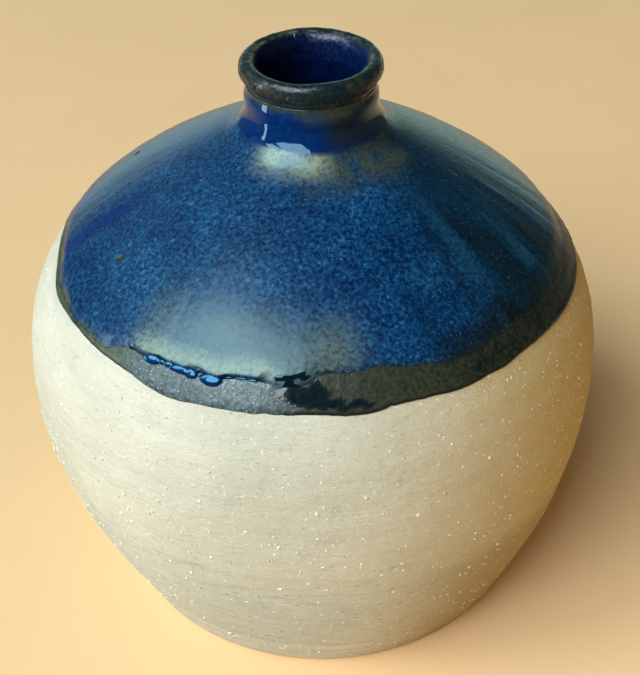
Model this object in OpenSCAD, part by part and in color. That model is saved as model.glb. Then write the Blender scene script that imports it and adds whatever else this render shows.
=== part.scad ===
// Ceramic bud vase, in millimetres. One wheel-thrown stoneware body carries three glaze coats:
// a liner poured inside, a dark first coat dipped over the mouth, and a blue second coat over it.
// Every coat follows the clay face to face. +Z is the axis of turning, and the origin is the
// centre of the foot, on the surface that the vase stands on.

/* [Body] */
// Radius of the belly at its widest
belly_r = 60; // [57:0.5:63]
// Height of the widest point of the belly
belly_z = 52; // [49:0.5:56]
// Radius of the foot
foot_r = 44.5; // [41:0.5:47]
// Thickness of the thrown wall
wall = 4.5; // [3:0.5:6]
// Thickness of the floor
floor_t = 6.5; // [5:0.5:9]
// Depth of the hollow trimmed under the foot
foot_hollow = 1.2; // [0.5:0.1:2]
// Width of the ring that the vase stands on
foot_ring = 9; // [6:0.5:14]

/* [Neck] */
// Height of the vase, to the crest of the glazed lip
height = 119.5; // [118:0.5:126]
// Radius of the clay neck
neck_r = 12; // [11.5:0.1:13]
// Height at which the line of the shoulder runs into the neck
shoulder_z = 105.7; // [104:0.1:107]
// Fall of the shoulder where it leaves the neck, in degrees
shoulder_slope = 27; // [24:1:31]
// Radius of the bore through the neck, inside the glaze
bore_r = 9.9; // [8.5:0.1:9.9]
// Radius of the clay lip at its widest
lip_r = 13.4; // [13.1:0.1:14.5]
// Height of the rolled bead that makes the lip
lip_h = 3.4; // [2.8:0.1:4]

/* [Glaze] */
// Thickness of the liner and of the first coat
coat_t = 0.4; // [0.3:0.05:0.6]
// Thickness of the second, blue coat
blue_t = 0.5; // [0.3:0.05:0.8]
// Height of the edge of the first coat, on the axis
glaze_line_z = 77.2; // [70:0.1:82]
// Rise of that edge towards the left, at -X, in degrees
glaze_line_lean = 0.4; // [0:0.1:1]
// Height of the blue coat's edge above the first coat's edge, on the axis
blue_gap = 5; // [4.5:0.1:8]
// Rise of the blue coat's edge towards the front and a little to the right, in degrees
blue_line_lean = 3; // [0:0.1:3]

/* [Hidden] */

$fn = 96;

// Steps along each stretch of curve
wall_steps = 18;
bend_steps = 8;

// Small edges and roundings
foot_bevel = 1;
floor_bend = 16;
neck_bend = 5;
inner_bend = 6;
lip_crest = 0.6;
lip_turn = 1;
mouth_turn = 1.6;
mouth_depth = 3.4;
bore_top_drop = 5;
blue_top_gap = 0.4;

// Pull of the curve's ends: how far each control point lies from its end of the wall
foot_pull = [8, 17];
belly_pull_down = 16.5;
belly_pull_up = 23.5;
shoulder_pull = 45;

clay_top = height - coat_t;
clay_bore_r = bore_r + coat_t;
neck_top_z = clay_top - 1.25 * lip_h;
bore_top_z = clay_top - bore_top_drop;
floor_z = floor_t;
half_space = 4 * belly_r;

// Azimuths, in degrees from +X
left = 180;
front_right = -75;

// Points on a cubic curve with control points c, from its start up to but not at its end
function curve_point(c, t) =
    pow(1 - t, 3) * c[0] + 3 * pow(1 - t, 2) * t * c[1]
    + 3 * (1 - t) * t * t * c[2] + pow(t, 3) * c[3];
function curve(c, steps) = [for (i = [0 : steps - 1]) curve_point(c, i / steps)];

// A rounded corner: leaves a towards corner k and arrives at b, without b itself
function bend(a, k, b) = curve([a, (a + 2 * k) / 3, (b + 2 * k) / 3, b], bend_steps);

// A quarter of an ellipse about c, from angle a0 to a1, both ends included
function arc(c, rx, rz, a0, a1) =
    [for (i = [0 : bend_steps]) let (a = a0 + (a1 - a0) * i / bend_steps)
        c + [rx * cos(a), rz * sin(a)]];

// A path moved sideways by d, to the right of its direction of travel
function unit(v) = v / norm(v);
function travel(p, i) = unit(p[min(i + 1, len(p) - 1)] - p[max(i - 1, 0)]);
function beside(p, d) =
    [for (i = [0 : len(p) - 1]) let (t = travel(p, i)) p[i] + d * [t[1], -t[0]]];
function reversed(p) = [for (i = [len(p) - 1 : -1 : 0]) p[i]];

// The outside of the clay, from the bevel of the foot up to the neck, as [radius, height]
shoulder_end = [neck_r, shoulder_z];
shoulder_fall = [cos(shoulder_slope), -sin(shoulder_slope)];
foot_wall = curve([
    [foot_r, foot_bevel],
    [foot_r, foot_bevel] + foot_pull,
    [belly_r, belly_z - belly_pull_down],
    [belly_r, belly_z]], wall_steps);
shoulder_wall = curve([
    [belly_r, belly_z],
    [belly_r, belly_z + belly_pull_up],
    shoulder_end + shoulder_pull * shoulder_fall,
    shoulder_end], wall_steps + bend_steps);
shoulder_open = [for (p = shoulder_wall) if (p[0] > neck_r + neck_bend) p];
neck_root = concat(
    bend(shoulder_open[len(shoulder_open) - 1], shoulder_end, shoulder_end + [0, neck_bend]),
    [shoulder_end + [0, neck_bend]]);
shoulder_path = concat([for (i = [0 : len(shoulder_open) - 2]) shoulder_open[i]], neck_root);

// The lip: a rolled bead outside, a rounded crest, and a funnel down to the bore
bead_mid = clay_top - lip_h / 2;
crest_r = (lip_r + clay_bore_r) / 2 + lip_crest;
lip_path = concat(
    curve([[neck_r, neck_top_z], [neck_r, bead_mid - lip_turn],
        [lip_r, neck_top_z + lip_turn], [lip_r, bead_mid]], bend_steps),
    arc([crest_r, bead_mid], lip_r - crest_r, lip_h / 2, 0, 90),
    [for (p = curve([[crest_r, clay_top], [crest_r - mouth_turn, clay_top],
        [clay_bore_r, bore_top_z + mouth_depth], [clay_bore_r, bore_top_z]], bend_steps))
        if (p[0] < crest_r) p],
    [[clay_bore_r, bore_top_z]]);

// The inside of the clay, from the centre of the floor up to the top of the bore
inner_wall = [for (p = beside(concat(foot_wall, shoulder_wall), -wall))
    if (p[1] > floor_z + floor_bend && p[0] > clay_bore_r + inner_bend) p];
wall_foot = inner_wall[0];
foot_rise = travel(inner_wall, 0);
floor_corner = wall_foot + foot_rise * (floor_z - wall_foot[1]) / foot_rise[1];
wall_head = inner_wall[len(inner_wall) - 1];
head_fall = travel(inner_wall, len(inner_wall) - 1);
bore_foot_z = wall_head[1] + head_fall[1] / head_fall[0] * (clay_bore_r - wall_head[0]);
inner_path = concat(
    [[0, floor_z]],
    bend(floor_corner - [floor_bend, 0], floor_corner, wall_foot),
    [for (i = [0 : len(inner_wall) - 2]) inner_wall[i]],
    bend(wall_head, [clay_bore_r, bore_foot_z], [clay_bore_r, bore_foot_z + inner_bend / 2]),
    [[clay_bore_r, bore_foot_z + inner_bend / 2], [clay_bore_r, bore_top_z]]);

// The clay under the first coat, and the first coat's own face under the blue coat
coated_clay = concat(shoulder_path, lip_path);
first_face = beside(coated_clay, coat_t);
blue_top_z = neck_top_z - blue_top_gap;
under_blue = concat(
    [for (p = first_face) if (p[0] > neck_r && p[1] < blue_top_z) p],
    [[neck_r + coat_t, blue_top_z]]);

// A ring of glaze: the band between a path and the path beside it, turned about the axis
module turned_band(path, face) {
    rotate_extrude() polygon(concat(path, reversed(face)));
}

// Everything above a plane that crosses the axis at height z and rises towards an azimuth
module above(z, rise, azimuth) {
    translate([0, 0, z]) rotate([0, 0, azimuth]) rotate([0, -rise, 0])
        translate([-half_space / 2, -half_space / 2, 0]) cube(half_space);
}

// The one piece of clay: foot, floor, wall, shoulder, neck and lip
module stoneware_body() {
    foot_path = [
        [0, foot_hollow],
        [foot_r - foot_bevel - foot_ring - foot_hollow, foot_hollow],
        [foot_r - foot_bevel - foot_ring, 0],
        [foot_r - foot_bevel, 0]];
    color([0.78, 0.76, 0.65]) rotate_extrude() polygon(concat(
        foot_path, foot_wall, coated_clay,
        [for (i = [len(inner_path) - 2 : -1 : 0]) inner_path[i]]));
}

// Glaze poured in and out again, over the whole of the inside up to the top of the bore
module liner_glaze() {
    face = beside(inner_path, -coat_t);
    color([0.03, 0.06, 0.22]) turned_band(inner_path, concat([[0, face[1][1]]],
        [for (i = [1 : len(face) - 1]) face[i]]));
}

// The dark first dip: from its edge on the shoulder, over the lip, to the liner in the bore
module first_glaze_coat() {
    color([0.13, 0.15, 0.13]) intersection() {
        turned_band(coated_clay, first_face);
        above(glaze_line_z, glaze_line_lean, left);
    }
}

// The blue second dip, over the first one, from its own edge to the underside of the lip
module blue_glaze_coat() {
    color([0.07, 0.17, 0.42]) intersection() {
        turned_band(under_blue, beside(under_blue, blue_t));
        above(glaze_line_z + blue_gap, blue_line_lean, front_right);
    }
}

stoneware_body();
liner_glaze();
first_glaze_coat();
blue_glaze_coat();
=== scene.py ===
"""Looks of the stoneware bud vase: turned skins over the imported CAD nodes, lit in a plain studio.

Sizes are in millimetres unless a name says otherwise, and azimuths in degrees from +X.
MM turns millimetres into the metres of the frame.
"""

import math

import bpy
import numpy as np
from mathutils import Matrix, Vector


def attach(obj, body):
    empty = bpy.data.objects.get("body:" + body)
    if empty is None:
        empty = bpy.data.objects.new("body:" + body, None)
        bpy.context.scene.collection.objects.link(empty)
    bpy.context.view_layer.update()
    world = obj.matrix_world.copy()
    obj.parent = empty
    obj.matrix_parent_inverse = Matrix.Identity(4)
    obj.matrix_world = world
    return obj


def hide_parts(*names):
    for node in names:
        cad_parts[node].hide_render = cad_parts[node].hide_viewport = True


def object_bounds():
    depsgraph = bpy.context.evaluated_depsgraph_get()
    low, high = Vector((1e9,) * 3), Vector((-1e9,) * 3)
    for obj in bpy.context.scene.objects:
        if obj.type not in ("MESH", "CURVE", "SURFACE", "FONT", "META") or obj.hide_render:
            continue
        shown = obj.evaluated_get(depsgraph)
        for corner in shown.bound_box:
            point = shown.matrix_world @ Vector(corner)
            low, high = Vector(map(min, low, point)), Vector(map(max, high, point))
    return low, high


MM = 0.001
SEED = 41

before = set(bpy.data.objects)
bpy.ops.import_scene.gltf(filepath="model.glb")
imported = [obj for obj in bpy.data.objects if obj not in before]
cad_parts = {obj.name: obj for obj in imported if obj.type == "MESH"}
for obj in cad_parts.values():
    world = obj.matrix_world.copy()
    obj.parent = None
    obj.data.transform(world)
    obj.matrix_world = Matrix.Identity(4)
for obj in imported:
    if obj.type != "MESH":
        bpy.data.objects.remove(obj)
cad_low, cad_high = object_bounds()

# Driving sizes, the same as those of the CAD part
HEIGHT = cad_high.z / MM
BELLY_R = (cad_high.x - cad_low.x) / 2 / MM
BELLY_Z = 52
FOOT_R = 44.5
FOOT_BEVEL = 1
FOOT_RING = 9
FOOT_HOLLOW = 1.2
NECK_R = 12
SHOULDER_Z = 105.7
SHOULDER_SLOPE = math.radians(27)
BORE_R = 9.9
LIP_R = 13.4
LIP_H = 3.4
WALL = 4.5
FLOOR_Z = 6.5
COAT = 0.4
BLUE = 0.5
BURIED = 0.06          # how far a coat's back sinks into what it covers

# Heights of the edges of the two dips, and what is scattered over the clay and the lip
FIRST_EDGE_Z = 76.9
BLUE_EDGE_LEFT_Z = 78.3
BLUE_EDGE_RIGHT_Z = 82.1
CLAY_PITS = 110
DRAG_MARKS = 120
GROG_GRAINS = 1900
LIP_PITS = 34
BLUE_PITS = 5

CLAY_TOP = HEIGHT - COAT
CLAY_BORE_R = BORE_R + COAT
NECK_TOP_Z = CLAY_TOP - 1.25 * LIP_H
BORE_TOP_Z = CLAY_TOP - 5
BLUE_TOP_Z = NECK_TOP_Z - 0.4


# ---------------- outlines

def cubic(a, b, c, d, steps=80):
    """Points [radius, height] on a cubic curve, without its end."""
    t = np.linspace(0, 1, steps, endpoint=False)[:, None]
    a, b, c, d = (np.array(p, float) for p in (a, b, c, d))
    return (1 - t) ** 3 * a + 3 * (1 - t) ** 2 * t * b + 3 * (1 - t) * t * t * c + t ** 3 * d


def bend(a, corner, b):
    """A rounded corner from a to b, without b."""
    a, corner, b = (np.array(p, float) for p in (a, corner, b))
    return cubic(a, (a + 2 * corner) / 3, (b + 2 * corner) / 3, b)


def travel(path):
    """Unit directions of travel along a path."""
    steps = np.gradient(path, axis=0)
    return steps / np.linalg.norm(steps, axis=1, keepdims=True)


def beside(path, distance):
    """The path moved sideways, to the right of its direction of travel."""
    along = travel(path)
    return path + distance * np.stack([along[:, 1], -along[:, 0]], axis=1)


def foot_and_shoulder():
    """The outside of the clay from the bevel of the foot to the point where shoulder meets neck."""
    foot = cubic(
        (FOOT_R, FOOT_BEVEL),
        (FOOT_R + 8, FOOT_BEVEL + 17),
        (BELLY_R, BELLY_Z - 16.5),
        (BELLY_R, BELLY_Z),
    )
    shoulder = cubic(
        (BELLY_R, BELLY_Z),
        (BELLY_R, BELLY_Z + 23.5),
        (NECK_R + 45 * math.cos(SHOULDER_SLOPE), SHOULDER_Z - 45 * math.sin(SHOULDER_SLOPE)),
        (NECK_R, SHOULDER_Z),
        steps=120,
    )
    return np.vstack([foot, shoulder])


def outside_path():
    """The outside of the clay, from the foot's bevel over the lip to the top of the bore."""
    wall = foot_and_shoulder()
    wall = wall[wall[:, 0] > NECK_R + 5]
    root = bend(wall[-1], (NECK_R, SHOULDER_Z), (NECK_R, SHOULDER_Z + 5))
    bead_mid = CLAY_TOP - LIP_H / 2
    crest_r = (LIP_R + CLAY_BORE_R) / 2 + 0.6
    under_lip = cubic(
        (NECK_R, NECK_TOP_Z), (NECK_R, bead_mid - 1), (LIP_R, NECK_TOP_Z + 1), (LIP_R, bead_mid)
    )
    turn = np.radians(np.linspace(0, 90, 40, endpoint=False))
    crest = np.stack([
        crest_r + (LIP_R - crest_r) * np.cos(turn),
        bead_mid + LIP_H / 2 * np.sin(turn),
    ], axis=1)
    mouth = cubic(
        (crest_r, CLAY_TOP),
        (crest_r - 1.6, CLAY_TOP),
        (CLAY_BORE_R, BORE_TOP_Z + 3.4),
        (CLAY_BORE_R, BORE_TOP_Z),
    )
    neck_foot = np.array([[NECK_R, SHOULDER_Z + 5]])
    bore_top = np.array([[CLAY_BORE_R, BORE_TOP_Z]])
    return np.vstack([wall[:-1], root, neck_foot, under_lip, crest, mouth, bore_top])


def inside_path():
    """The inside of the clay, from the centre of the floor up to the top of the bore."""
    wall = beside(foot_and_shoulder(), -WALL)
    wall = wall[(wall[:, 1] > FLOOR_Z + 16) & (wall[:, 0] > CLAY_BORE_R + 6)]
    rise = travel(wall)[0]
    corner = wall[0] + rise * (FLOOR_Z - wall[0][1]) / rise[1]
    fall = travel(wall)[-1]
    bore_foot = wall[-1][1] + fall[1] / fall[0] * (CLAY_BORE_R - wall[-1][0])
    return np.vstack([
        [[0, FLOOR_Z]],
        bend(corner - [16, 0], corner, wall[0]),
        wall[:-1],
        bend(wall[-1], (CLAY_BORE_R, bore_foot), (CLAY_BORE_R, bore_foot + 3)),
        [[CLAY_BORE_R, bore_foot + 3], [CLAY_BORE_R, BORE_TOP_Z]],
    ])


class Outline:
    """A path measured by the distance along it."""

    def __init__(self, path):
        self.path = path
        gaps = np.linalg.norm(np.diff(path, axis=0), axis=1)
        self.run = np.concatenate([[0], np.cumsum(gaps)])
        self.along = travel(path)
        self.length = self.run[-1]
        self.crest = int(np.argmax(path[:, 1]))

    def at(self, s, out=0.0):
        """Radius and height at distance s along the path, lifted by out from its face."""
        along = [np.interp(s, self.run, self.along[:, i]) for i in (0, 1)]
        size = np.hypot(*along)
        radius = np.interp(s, self.run, self.path[:, 0]) + out * along[1] / size
        height = np.interp(s, self.run, self.path[:, 1]) - out * along[0] / size
        return radius, height

    def reach(self, z):
        """Distance along the path at which its outside passes height z."""
        up = slice(0, self.crest + 1)
        return np.interp(z, self.path[up, 1], self.run[up])

    def height(self, s):
        return np.interp(s, self.run, self.path[:, 1])


OUTSIDE = Outline(outside_path())
INSIDE = Outline(inside_path())


# ---------------- noise and shapes over the azimuth

def fade(t):
    return t * t * (3 - 2 * t)


def ramp(x, start, end):
    """0 before start, 1 after end, and smooth between them."""
    return fade(np.clip((np.asarray(x, float) - start) / (end - start), 0, 1))


def bump(x, centre, width):
    """A round hump, 1 high at its centre and gone by width on each side."""
    return fade(np.clip(1 - np.abs(np.asarray(x, float) - centre) / width, 0, 1))


def noise(u, v, around, up, seed):
    """Smooth noise from -1 to 1. u runs round the vase and wraps; v runs up; both go from 0 to 1."""
    grid = np.random.default_rng(SEED + seed).uniform(-1, 1, (up + 2, around))
    x = (np.asarray(u, float) % 1) * around
    y = np.clip(v, 0, 1) * up
    column, row = np.floor(x).astype(int) % around, np.floor(y).astype(int)
    beyond = (column + 1) % around
    fx, fy = fade(x - np.floor(x)), fade(y - np.floor(y))
    low = grid[row, column] * (1 - fx) + grid[row, beyond] * fx
    high = grid[row + 1, column] * (1 - fx) + grid[row + 1, beyond] * fx
    return low * (1 - fy) + high * fy


def noise_place(azimuth, z):
    """The u and v of noise for places on the outside."""
    return azimuth / 360, z / 120


def wander(azimuth, cells, seed):
    """Smooth noise from -1 to 1 round the vase, the same at every height."""
    return noise(azimuth / 360, 0.0, cells, 1, seed)


def ragged(azimuth, scales, seed):
    """A wandering line round the vase. scales holds (cells round the vase, size) pairs."""
    return sum(size * wander(azimuth, cells, seed + i) for i, (cells, size) in enumerate(scales))


def columns(count):
    """Equally spaced azimuths, from -180 up to 180."""
    return np.linspace(-180, 180, count, endpoint=False)


def span(azimuth, start, end, soft=3.0):
    """1 between two azimuths, falling away softly outside them."""
    return ramp(azimuth, start - soft, start) * (1 - ramp(azimuth, end, end + soft))


def across_from(azimuth, centre, radius):
    """Distance round the vase from the azimuth centre, at a radius."""
    return (((azimuth - centre + 180) % 360) - 180) * np.pi / 180 * radius


def dimple(across, along, size):
    """A round hollow, 1 deep at its centre and gone by size."""
    return np.clip(1 - (across ** 2 + along ** 2) / size ** 2, 0, 1)


def sway(radius, height, azimuth):
    """Turns radius, height and azimuth into points in metres, with the vase's slight skew.

    The foot sits right of the axis, the belly left of it and the neck on it. The belly isn't quite
    round, and it is a little slimmer than the CAD's."""
    lean = 0.7 - 1.5 * ramp(height, 2, 48) + 0.8 * ramp(height, 88, 106)
    oval = 0.12 * ramp(height, 4, 30) * (1 - ramp(height, 90, 104))
    slim = 0.45 * ramp(height, 12, 46) * (1 - ramp(height, 70, 96))
    angle = np.radians(azimuth)
    r = radius - slim + oval * np.cos(2 * angle + 0.8)
    x = r * np.cos(angle) + lean
    y = r * np.sin(angle)
    return np.stack([x, y, height], axis=-1) * MM


# ---------------- meshes

def placed(name, data):
    """A new object in the scene."""
    made = bpy.data.objects.new(name, data)
    bpy.context.scene.collection.objects.link(made)
    return made


def new_object(name, points, faces, values=None):
    """A smooth mesh object from points, faces of any number of corners, and values at the points."""
    mesh = bpy.data.meshes.new(name)
    sizes = np.array([len(f) for f in faces])
    starts = np.concatenate([[0], np.cumsum(sizes)[:-1]])
    corners = np.concatenate([np.asarray(f) for f in faces]).astype(np.int32)
    mesh.vertices.add(len(points))
    mesh.vertices.foreach_set("co", np.asarray(points, np.float32).ravel())
    mesh.loops.add(len(corners))
    mesh.loops.foreach_set("vertex_index", corners)
    mesh.polygons.add(len(faces))
    mesh.polygons.foreach_set("loop_start", starts.astype(np.int32))
    mesh.polygons.foreach_set("use_smooth", np.ones(len(faces), bool))
    mesh.update(calc_edges=True)
    mesh.validate()
    for key, array in (values or {}).items():
        layer = mesh.attributes.new(key, "FLOAT", "POINT")
        layer.data.foreach_set("value", np.asarray(array, np.float32).ravel())
    return placed(name, mesh)


def turned(name, radius, height, azimuth, loop, values=None):
    """A closed skin through rows of points: radius and height have a row for each ring.

    With loop the last ring joins the first one; without it both end rings close on the axis."""
    rows, count = radius.shape
    points = sway(radius, height, np.broadcast_to(azimuth, radius.shape)).reshape(-1, 3)
    index = np.arange(rows * count).reshape(rows, count)
    lower = index if loop else index[:-1]
    upper = np.roll(index, -1, axis=0) if loop else index[1:]
    quads = [lower, np.roll(lower, -1, axis=1), np.roll(upper, -1, axis=1), upper]
    faces = list(np.stack(quads, axis=-1).reshape(-1, 4))
    extra = {key: np.asarray(v).reshape(-1) for key, v in (values or {}).items()}
    if not loop:
        for ring, way in ((0, -1), (rows - 1, 1)):
            rim = index[ring]
            hub = len(points)
            points = np.vstack([points, points[rim].mean(axis=0)])
            extra = {key: np.append(v, v[rim].mean()) for key, v in extra.items()}
            for a, b in zip(rim, np.roll(rim, -1)):
                faces.append((a, b, hub) if way > 0 else (b, a, hub))
    return new_object(name, points, faces, extra)


def finish_piece(piece, node=None):
    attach(piece, "root")
    if node:
        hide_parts(node)
    return piece


# ---------------- edges of the two dips

def first_edge(azimuth):
    """Height of the first dip's edge: nearly level, with the small steps of a hand-held dip."""
    angle = np.radians(azimuth)
    level = FIRST_EDGE_Z - 1.0 * np.cos(angle) - 0.6 * np.cos(3 * angle)
    level = level + 1.2 * ramp(np.abs(azimuth), 160, 178)
    level = level - 0.75 * span(azimuth, -122, -52, 10)
    for centre, wide, drop in ((-160, 12, 0.5), (-118, 7, 0.35), (-81, 9, 0.55), (-60, 8, 0.35)):
        level = level - drop * bump(azimuth, centre, wide)
    chips = 0.25 * ramp(wander(azimuth, 240, 14), 0.45, 0.9) * span(azimuth, -98, -76, 6)
    return level + chips + ragged(azimuth, [(40, 0.10), (110, 0.07), (300, 0.05)], 10)


def blue_edge(azimuth):
    """Height of the second dip's edge: close to the first at the left, well above it at the right."""
    left = BLUE_EDGE_LEFT_Z + 2.4 * bump(np.abs(azimuth), 180, 30) + 2.1 * span(azimuth, -129, -100, 9)
    left = left - 0.6 * bump(azimuth, -110.5, 4)
    right = BLUE_EDGE_RIGHT_Z - 1.9 * ramp(azimuth, -76, -62) - 0.4 * ramp(azimuth, -45, -25)
    level = left + (right - left) * ramp(azimuth, -99, -86) * (1 - ramp(azimuth, 130, 176))
    return level + ragged(azimuth, [(24, 0.25), (70, 0.28), (190, 0.16)], 20)


# ---------------- the pieces

def trimmed_part(z):
    """1 on the lower part of the clay, which was trimmed after throwing, and 0 above it."""
    return 1 - ramp(z, 26, 42)


def clay_relief(az_grid, z, pits, drag):
    """How far the thrown and trimmed surface stands out from the plain outline."""
    u, v = noise_place(az_grid, z)
    rings = 0.05 * np.sin(2 * np.pi * (z + az_grid / 360 * 6) / 6.3 + 1.5 * noise(u, v, 5, 6, 30))
    rings = rings * (0.4 + 0.6 * ramp(z, 20, 45))
    trimmed = trimmed_part(z)
    cuts = 0.07 * noise(u + z / 900, v, 4, 95, 31) * (0.35 + 0.65 * trimmed)
    facets = 0.16 * noise(u, v, 9, 14, 32) * trimmed
    grain = 0.045 * noise(u, v, 500, 160, 33) + 0.045 * noise(u, v, 230, 80, 34)
    tool_line = -0.22 * bump(z, 9.2 + 0.4 * np.sin(np.radians(az_grid + 40)), 0.9) * trimmed
    soft = 0.08 * noise(u, v, 6, 5, 35)
    bare = 1 - ramp(z, 74, 76.5)
    relief = (rings + cuts + facets + grain + tool_line + soft) * bare
    return relief - (0.32 * pits + 0.12 * drag) * bare


def glaze_film(az_grid, z):
    """A mask of the thin smears of glaze on the clay under the first dip's edge."""
    u, v = noise_place(az_grid, z)
    below = first_edge(az_grid) - z
    left = span(az_grid, -173, -152, 6) * (1 - ramp(below + 0.5 * noise(u, v, 90, 60, 36), 0.9, 1.8))
    front = 0.7 * span(az_grid, -99, -93, 2) * (1 - ramp(below, 0.3, 0.8))
    return np.maximum(left, front)


def foot_section():
    """Radius and height of the foot, from the hollow under it over the ring to the bevel."""
    ring_out = FOOT_R - FOOT_BEVEL
    ring_in = ring_out - FOOT_RING
    return np.array([
        [ring_in - FOOT_HOLLOW - 12, FOOT_HOLLOW],
        [ring_in - FOOT_HOLLOW, FOOT_HOLLOW],
        [ring_in, 0.12],
        [ring_in + 0.3, 0],
        [ring_out - 0.3, 0],
        [ring_out + 0.25, 0.15],
        [FOOT_R - 0.2, FOOT_BEVEL - 0.3],
    ])


def clay_body():
    """The thrown and trimmed clay: fine where it shows, coarse under the glaze and inside."""
    azimuth = columns(512)
    top_of_fine = OUTSIDE.reach(82.5)
    s = np.concatenate([
        np.arange(0, top_of_fine, 0.74),
        np.linspace(top_of_fine, OUTSIDE.reach(104), 9),
        np.linspace(OUTSIDE.reach(105), OUTSIDE.length, 15),
    ])
    s_grid, az_grid = np.meshgrid(s, azimuth, indexing="ij")
    z = OUTSIDE.height(s_grid)
    pits, drag = surface_marks(az_grid, z)
    relief = clay_relief(az_grid, z, pits, drag)
    relief[0] = 0

    radius, height = OUTSIDE.at(s_grid, relief)
    under = foot_section()
    inner_r, inner_z = INSIDE.at(np.linspace(INSIDE.length - 0.5, INSIDE.length * 0.06, 24))
    flat = np.ones((1, len(azimuth)))
    radius = np.vstack([under[:, :1] * flat, radius, inner_r[:, None] * flat])
    height = np.vstack([under[:, 1:] * flat, height, inner_z[:, None] * flat])

    masks = {"pit": pits, "drag": drag, "film": glaze_film(az_grid, z), "trim": trimmed_part(z)}
    hidden = ((len(under), len(inner_r)), (0, 0))
    values = {name: np.pad(mask, hidden) for name, mask in masks.items()}
    body = turned("clay_body", radius, height, azimuth, loop=False, values=values)
    return finish_piece(body, "stoneware_body")


def surface_marks(az_grid, z):
    """Masks of small pits, and of the drag marks that grains of grog leave under the tool."""
    rng = np.random.default_rng(SEED + 50)
    pits, drag = np.zeros_like(z), np.zeros_like(z)
    for kind, count in (("pit", CLAY_PITS), ("drag", DRAG_MARKS)):
        for _ in range(count):
            az, centre = rng.uniform(-180, 180), rng.uniform(3, 74)
            if kind == "drag":
                centre = rng.uniform(6, 44)        # only where the clay was trimmed
            across = across_from(az_grid, az, np.interp(centre, [0, 30, 52, 75], [45, 56, 60, 55]))
            if kind == "pit":
                pits += dimple(across, z - centre, rng.uniform(0.5, 0.8))
            else:
                long, high = rng.uniform(2.0, 6.5), rng.uniform(0.5, 0.8)
                rise = (z - centre) - 0.03 * across
                drag += np.clip(1 - (across / long) ** 2 - (rise / high) ** 2, 0, 1)
    return np.clip(pits, 0, 1), np.clip(drag, 0, 1)


def grains():
    """Grains of white grog that stand a little proud of the bare clay."""
    rng = np.random.default_rng(SEED + 60)
    bpy.ops.mesh.primitive_ico_sphere_add(subdivisions=1, radius=1)
    seed_shape = bpy.context.object
    ball = np.array([v.co[:] for v in seed_shape.data.vertices])
    facets = np.array([p.vertices[:] for p in seed_shape.data.polygons])
    bpy.data.objects.remove(seed_shape)
    points, faces, tint = [], [], []
    while len(points) < GROG_GRAINS:
        s = rng.uniform(1.5, OUTSIDE.reach(76))
        az = rng.uniform(-180, 180)
        r, z = OUTSIDE.at(np.array([s]))
        if rng.uniform() > r[0] / BELLY_R or z[0] > first_edge(np.array([az]))[0] - 0.8:
            continue
        size = rng.uniform(0.20, 0.42) * (1 + 0.5 * (rng.uniform() > 0.88))
        turn, squeeze = rng.normal(0, 0.5), rng.uniform(0.45, 0.95)
        shape = ball * rng.uniform(0.75, 1.2, (len(ball), 1))
        side = size * (shape[:, 0] * math.cos(turn) - shape[:, 1] * squeeze * math.sin(turn))
        rise = size * (shape[:, 0] * math.sin(turn) + shape[:, 1] * squeeze * math.cos(turn))
        lift = 0.55 * size * shape[:, 2] - 0.12 * size
        radius, height = OUTSIDE.at(s + rise, lift)
        points.append(sway(radius, height, az + np.degrees(side / r[0])))
        faces.append(facets + len(ball) * len(faces))
        tint.append(np.full(len(ball), rng.uniform()))
    piece = new_object(
        "grog_grains", np.vstack(points), list(np.vstack(faces)), {"tint": np.concatenate(tint)}
    )
    return finish_piece(piece)


def rounded_edge(distance, width):
    """0 at a coat's edge, rising like a quarter circle to 1 at width from it."""
    t = np.clip(distance / width, 0, 1)
    return np.sqrt(np.clip(1 - (1 - t) ** 2, 0, 1))


def coat_skin(name, azimuth, s, lift, back_s, back_lift, masks):
    """A closed coat: a face at distances s along the outside, and a hidden back in what it covers.

    lift and back_lift are their heights over the clay. The masks are 0 over the back."""
    radius, height = OUTSIDE.at(s, lift)
    back_r, back_z = OUTSIDE.at(back_s, back_lift)
    values = {key: np.vstack([mask, np.zeros_like(back_s)]) for key, mask in masks.items()}
    rings = np.vstack([radius, back_r]), np.vstack([height, back_z])
    return turned(name, *rings, azimuth, loop=True, values=values)


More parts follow.
